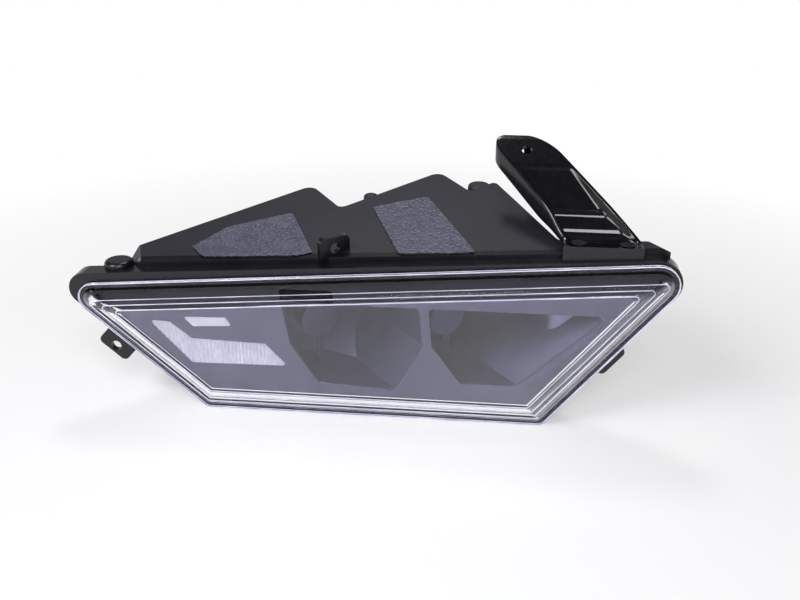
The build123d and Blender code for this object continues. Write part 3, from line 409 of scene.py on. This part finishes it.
# Channelled bracket, in millimetres: each line gives a value at depths from the foot to the pad
FOLD = [(3.0, 116.5), (14.0, 116.5), (27.0, 131.5), (54.0, 148.5), (76.0, 162.0)]
LEFT_EDGE = [(3.0, 109.0), (14.0, 109.0), (76.0, 61.4)]
RIGHT_EDGE = [(3.0, 155.0), (14.0, 155.0), (27.0, 139.0), (76.0, 98.4)]
CHANNEL_DEPTH = [(3.0, 0.5), (12.0, 0.8), (16.0, 2.6), (19.6, 4.5), (20.6, 3.8), (24.0, 4.6), (27.0, 5.6)]
CHANNEL_DEPTH += [(27.9, 4.8), (32.0, 6.0), (52.0, 1.6), (54.0, 0.3), (56.0, 0.0), (76.0, 0.0)]
EDGE_DROP = [(3.0, 0.0), (16.0, 0.0), (29.0, 8.0), (76.0, 8.0)]
SHEET = 3.5
FLOOR_SHEET = 3.0
BEND = 4.0
BEND_TAPS = 4
PAD_END_RADIUS = 13.0
PAD_END_CUT = 0.25
STATION_STEP = 0.4
# Section of the bracket from its edge inwards: drop below the rim, share of the channel's depth above its
# floor, and share of the underside's hollow
RIM_PROFILE = [(0.0, 1.2), (0.35, 0.35), (1.2, 0.0), (2.4, 0.0)]
WALL_PROFILE = [(3.0, 0.88), (3.6, 0.25), (4.6, 0.04), (6.0, 0.0)]
UNDER_PROFILE = [(4.5, 1.0), (3.4, 0.3), (3.0, 0.0)]
FULL_PROFILE_WIDTH = 14.0
# Bolt hole in the pad
HOLE_CENTRE = (87.2, 65.7, 157.45)
HOLE_AXIS = (0.0, -0.523, 0.852)
HOLE_RADIUS = 3.3
HOLE_SIDES = 40
DRILL_LENGTH = 30.0
CREASE = 40.0


def along_line(line, y):
    """Value of a broken line at a depth."""
    for (y0, v0), (y1, v1) in zip(line, line[1:]):
        if y <= y1:
            return v0 + (v1 - v0) * (y - y0) / (y1 - y0)
    return line[-1][1]


def along_bend(line, y):
    """Value of a broken line at a depth, with its bends rounded."""
    low, high = line[0][0], line[-1][0]
    steps = range(-BEND_TAPS, BEND_TAPS + 1)
    taps = [min(max(y + BEND * step / BEND_TAPS, low), high) for step in steps]
    return sum(along_line(line, tap) for tap in taps) / len(taps)


def channel_ring(y):
    """Closed section of the bracket at a depth: rims, channel floor and underside."""
    past = max(0.0, y - (FOLD[-1][0] - PAD_END_RADIUS))
    tuck = PAD_END_RADIUS - (PAD_END_RADIUS**2 - past**2) ** 0.5
    left = along_line(LEFT_EDGE, y) + tuck
    right = along_bend(RIGHT_EDGE, y) - tuck
    fold = along_bend(FOLD, y)
    depth = along_line(CHANNEL_DEPTH, y)
    rim = fold + SHEET
    floor = rim - depth
    edge = fold - along_bend(EDGE_DROP, y)
    under = max(floor - FLOOR_SHEET, edge)
    rise = [(0.0, edge)] + [(x, rim - drop) for x, drop in RIM_PROFILE]
    rise += [(x, floor + share * depth) for x, share in WALL_PROFILE]
    fall = [(x, edge + share * (under - edge)) for x, share in UNDER_PROFILE]
    fit = min(1.0, (right - left) / FULL_PROFILE_WIDTH)
    ring = [(left + x * fit, y, z) for x, z in rise]
    ring += [(right - x * fit, y, z) for x, z in reversed(rise)]
    ring += [(right - x * fit, y, z) for x, z in reversed(fall)]
    ring += [(left + x * fit, y, z) for x, z in fall]
    return ring


def bolt_drill():
    """Round bar through the bracket's pad, which cuts its bolt hole."""
    work = bmesh.new()
    radius = HOLE_RADIUS * MM
    sizes = {"radius1": radius, "radius2": radius, "depth": DRILL_LENGTH * MM}
    bmesh.ops.create_cone(work, cap_ends=True, segments=HOLE_SIDES, **sizes)
    turn = Vector(HOLE_AXIS).to_track_quat("Z", "Y").to_matrix()
    bmesh.ops.rotate(work, verts=work.verts, matrix=turn)
    bmesh.ops.translate(work, verts=work.verts, vec=Vector(HOLE_CENTRE) * MM)
    return placed("drill", mesh_of(work, "drill"))


def channelled_bracket():
    """Glossy bracket that rises from the flange to its bolt pad, in place of the plain one."""
    start, end = FOLD[0][0], FOLD[-1][0] - PAD_END_CUT
    count = int((end - start) / STATION_STEP)
    work = bmesh.new()
    rings = []
    for number in range(count + 1):
        ring = channel_ring(start + (end - start) * number / count)
        rings.append([work.verts.new(Vector(point) * MM) for point in ring])
    for near, far in zip(rings, rings[1:]):
        for place in range(len(near)):
            after = (place + 1) % len(near)
            work.faces.new((near[place], near[after], far[after], far[place]))
    caps = [work.faces.new(rings[0]), work.faces.new(rings[-1])]
    bmesh.ops.triangulate(work, faces=caps)
    bmesh.ops.recalc_face_normals(work, faces=work.faces)
    bracket = placed("channelled_bracket", mesh_of(work, "bracket_blank"))
    drill = bolt_drill()
    cut = bracket.modifiers.new("bolt_hole", "BOOLEAN")
    cut.operation = "DIFFERENCE"
    cut.object = drill
    mesh = settle(bracket, cut)
    bpy.data.objects.remove(drill)
    mesh.materials.clear()
    mesh.materials.append(finishes["bracket"])
    mesh.set_sharp_from_angle(angle=radians(CREASE))
    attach(bracket, "root")
    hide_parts("upper_bracket")


# Lens outline as seen from the front, in millimetres and degrees
BOTTOM_LEFT, BOTTOM_RIGHT = 110.5, 104.5
LEFT_RAKE, RIGHT_RAKE = 42.5, 52.0
MID_HEIGHT = 100.0
CORNER_RADII = (7.5, 7.5, 14.0, 11.0)
LEAST_RADIUS = 2.0
CORNER_STEPS = 8
# Painted highlights along the moulded edges of the lens: depth of each, its inset at the sides and at the
# top, and its bead radius
EDGE_HIGHLIGHTS = [
    (-3.0, 1.5, 1.5, 0.34),
    (-0.5, 1.5, 1.5, 0.28),
    (-17.35, 22.2, 12.95, 0.35),
    (-11.05, 11.4, 8.8, 0.25),
    (-14.2, 16.8, 10.9, 0.3),
]
BEAD_SIDES = 8


def lens_path(side, top):
    """Rounded outline of the lens moved in from its flange, as points seen from the front."""
    height = MID_HEIGHT - top / cos(radians(TOP_TILT))
    slope = tan(radians(TOP_TILT))
    left_cot, right_cot = 1 / tan(radians(LEFT_RAKE)), 1 / tan(radians(RIGHT_RAKE))
    left = -BOTTOM_LEFT + side / sin(radians(LEFT_RAKE))
    right = BOTTOM_RIGHT - side / sin(radians(RIGHT_RAKE))
    left_top = (left - height * left_cot) / (1 + slope * left_cot)
    right_top = (right + height * right_cot) / (1 - slope * right_cot)
    corners = [
        Vector((left - side * left_cot, side)),
        Vector((right + side * right_cot, side)),
        Vector((right_top, height + slope * right_top)),
        Vector((left_top, height + slope * left_top)),
    ]
    path = []
    for number, corner in enumerate(corners):
        radius = max(CORNER_RADII[number] - side, LEAST_RADIUS)
        before = (corners[number - 1] - corner).normalized()
        after = (corners[(number + 1) % len(corners)] - corner).normalized()
        half = before.angle(after) / 2
        reach = radius / tan(half)
        middle = corner + (before + after).normalized() * (radius / sin(half))
        first, last = corner + before * reach - middle, corner + after * reach - middle
        turn = first.angle_signed(last)
        for step in range(CORNER_STEPS + 1):
            arm = first.copy()
            arm.rotate(Matrix.Rotation(-turn * step / CORNER_STEPS, 2))
            path.append(middle + arm)
    return path


def bead_tree(material):
    """Geometry nodes that run a thin round bead along a closed path."""
    tree = bpy.data.node_groups.new("edge_highlight_bead", "GeometryNodeTree")
    tree.interface.new_socket("Path", in_out="INPUT", socket_type="NodeSocketGeometry")
    radius = tree.interface.new_socket("Bead Radius", in_out="INPUT", socket_type="NodeSocketFloat")
    tree.interface.new_socket("Bead", in_out="OUTPUT", socket_type="NodeSocketGeometry")
    given = add(tree, "NodeGroupInput").outputs
    path = add(tree, "GeometryNodeMeshToCurve", links={"Mesh": given["Path"]}).outputs["Curve"]
    links = {"Radius": given["Bead Radius"]}
    ring = add(tree, "GeometryNodeCurvePrimitiveCircle", {"Resolution": BEAD_SIDES}, links).outputs["Curve"]
    links = {"Curve": path, "Profile Curve": ring}
    tube = add(tree, "GeometryNodeCurveToMesh", links=links).outputs["Mesh"]
    real = add(tree, "GeometryNodeRealizeInstances", links={"Geometry": tube}).outputs["Geometry"]
    coated = add(tree, "GeometryNodeSetMaterial", {"Material": material}, {"Geometry": real})
    add(tree, "NodeGroupOutput", links={"Bead": coated.outputs["Geometry"]})
    return tree, radius.identifier


def edge_highlight_beads():
    """Thin milky white beads on the moulded edges of the lens: painted highlights for the bright lines that
    light draws along them.
    """
    tree, size = bead_tree(finishes["lens_edge"])
    for number, (depth, side, top, radius) in enumerate(EDGE_HIGHLIGHTS, 1):
        name = f"lens_edge_{number}"
        points = [(point.x * MM, depth * MM, point.y * MM) for point in lens_path(side, top)]
        loop = [(place, (place + 1) % len(points)) for place in range(len(points))]
        wire = bpy.data.meshes.new(name + "_path")
        wire.from_pydata(points, loop, [])
        bead = placed(name, wire)
        run = bead.modifiers.new("bead", "NODES")
        run.node_group = tree
        run[size] = radius * MM
        settle(bead, run)
        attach(bead, "root")


# Table and room, in metres, watts and shares of white
TABLE_REACH = 6.0
WHITE_NEAR, WHITE_FAR = (0.25, 0.35), (0.6, 1.0)
WALL_TOP, CEILING = (0.08, 1.0), (0.4, 0.1)
WALL_LEFT, WALL_RIGHT = (0.1, 1.0), (0.7, 0.25)
LAMPS = [
    ("left_lamp", (-0.9, -0.8, 1.1), (0, 0.0, 0.05), 0.7, 15),
    ("front_lamp", (0.32, -1.25, 1.2), (0, 0.0, 0.05), 0.7, 17),
    ("top_lamp", (-0.15, 0.74, 1.5), (0, 0.1, 0.05), 0.36, 6),
]


def ramp_between(low, high):
    """Map Range values that run from one pair of input and output to another."""
    return {"From Min": low[0], "To Min": low[1], "From Max": high[0], "To Max": high[1]}


def white_laminate(tree, place):
    # White laminate: bright, and smooth enough for a faint blurred reflection
    links = worn_surface(tree, place, 120, ("#f3f3f6", "#f6f6f8"), (0.28, 0.34))
    lit = add(tree, "ShaderNodeBsdfPrincipled", {"IOR": 1.45}, links).outputs["BSDF"]
    glow = {"Color": linear("#ffffff"), "Strength": 1.0}
    white = add(tree, "ShaderNodeEmission", glow).outputs["Emission"]
    path = add(tree, "ShaderNodeLightPath").outputs
    rays = {0: path["Is Glossy Ray"], 1: path["Is Transmission Ray"]}
    mirrored = add(tree, "ShaderNodeMath", links=rays, operation="MAXIMUM").outputs[0]
    rays = {0: path["Is Camera Ray"], 1: mirrored}
    seen = add(tree, "ShaderNodeMath", links=rays, operation="MAXIMUM").outputs[0]
    away = add(tree, "ShaderNodeVectorMath", links={0: place}, operation="LENGTH").outputs["Value"]
    fade = ramp_between(WHITE_NEAR, WHITE_FAR)
    fade = add(tree, "ShaderNodeMapRange", fade, {"Value": away}).outputs["Result"]
    share = add(tree, "ShaderNodeMath", links={0: seen, 1: fade}, operation="MULTIPLY").outputs[0]
    return add(tree, "ShaderNodeMixShader", links={0: share, 1: lit, 2: white}).outputs["Shader"]


def table_top():
    """Plain white table that fades into the white background."""
    work = bmesh.new()
    bmesh.ops.create_grid(work, x_segments=1, y_segments=1, size=TABLE_REACH)
    table = placed("table_top", mesh_of(work, "table_top"))
    table.data.materials.append(finish("white_laminate", white_laminate))


def soft_lamp(name, place, aim, size, watts):
    """Square soft lamp that points from its place at an aim."""
    lamp = bpy.data.lights.new(name, "AREA")
    lamp.size = size
    lamp.energy = watts
    holder = placed(name, lamp)
    holder.location = place
    holder.rotation_euler = (Vector(aim) - Vector(place)).to_track_quat("-Z", "Y").to_euler()


def studio():
    """White room with a dark ceiling, and soft lamps."""
    world = bpy.data.worlds.new("white_room")
    scene.world = world
    world.use_nodes = True
    tree = world.node_tree
    tree.nodes.clear()
    path = add(tree, "ShaderNodeLightPath").outputs
    toward = add(tree, "ShaderNodeTexCoord").outputs["Generated"]
    axes = add(tree, "ShaderNodeSeparateXYZ", links={"Vector": toward}).outputs
    ceiling = ramp_between(WALL_TOP, CEILING)
    ceiling = add(tree, "ShaderNodeMapRange", ceiling, {"Value": axes["Z"]}).outputs["Result"]
    right = ramp_between(WALL_LEFT, WALL_RIGHT)
    right = add(tree, "ShaderNodeMapRange", right, {"Value": axes["X"]}).outputs["Result"]
    walls = add(tree, "ShaderNodeMath", links={0: ceiling, 1: right}, operation="MULTIPLY").outputs[0]
    links = {0: walls, 1: path["Is Camera Ray"]}
    level = add(tree, "ShaderNodeMath", links=links, operation="MAXIMUM").outputs[0]
    room = add(tree, "ShaderNodeBackground", {"Color": linear("#ffffff")}, {"Strength": level})
    add(tree, "ShaderNodeOutputWorld", links={"Surface": room.outputs["Background"]})
    for lamp in LAMPS:
        soft_lamp(*lamp)


# Camera at the photograph's place: a little right of the middle and 25 degrees above
CAMERA_PLACE = (0.0659, -0.4863, 0.3102)
CAMERA_TILT, CAMERA_TURN = 65.0, 6.0
SENSOR_WIDTH, FOCAL_LENGTH = 36.0, 40.5


def photo_camera():
    """Camera that sees the lamp as the photograph does."""
    lens = bpy.data.cameras.new("photo_camera")
    lens.sensor_fit = "HORIZONTAL"
    lens.sensor_width = SENSOR_WIDTH
    lens.lens = FOCAL_LENGTH
    camera = placed("photo_camera", lens)
    camera.location = CAMERA_PLACE
    camera.rotation_euler = (radians(CAMERA_TILT), 0, radians(CAMERA_TURN))
    scene.camera = camera


grain_tree, pitch_input, depth_input = leather_grain_tree(finishes["grain"])
grained_pad("grained_pad_low", LOW_PAD, grain_tree, pitch_input, depth_input)
grained_pad("grained_pad_high", HIGH_PAD, grain_tree, pitch_input, depth_input)
channelled_bracket()
# Beads of painted highlight along the lens edges
edge_highlight_beads()
table_top()
studio()
photo_camera()
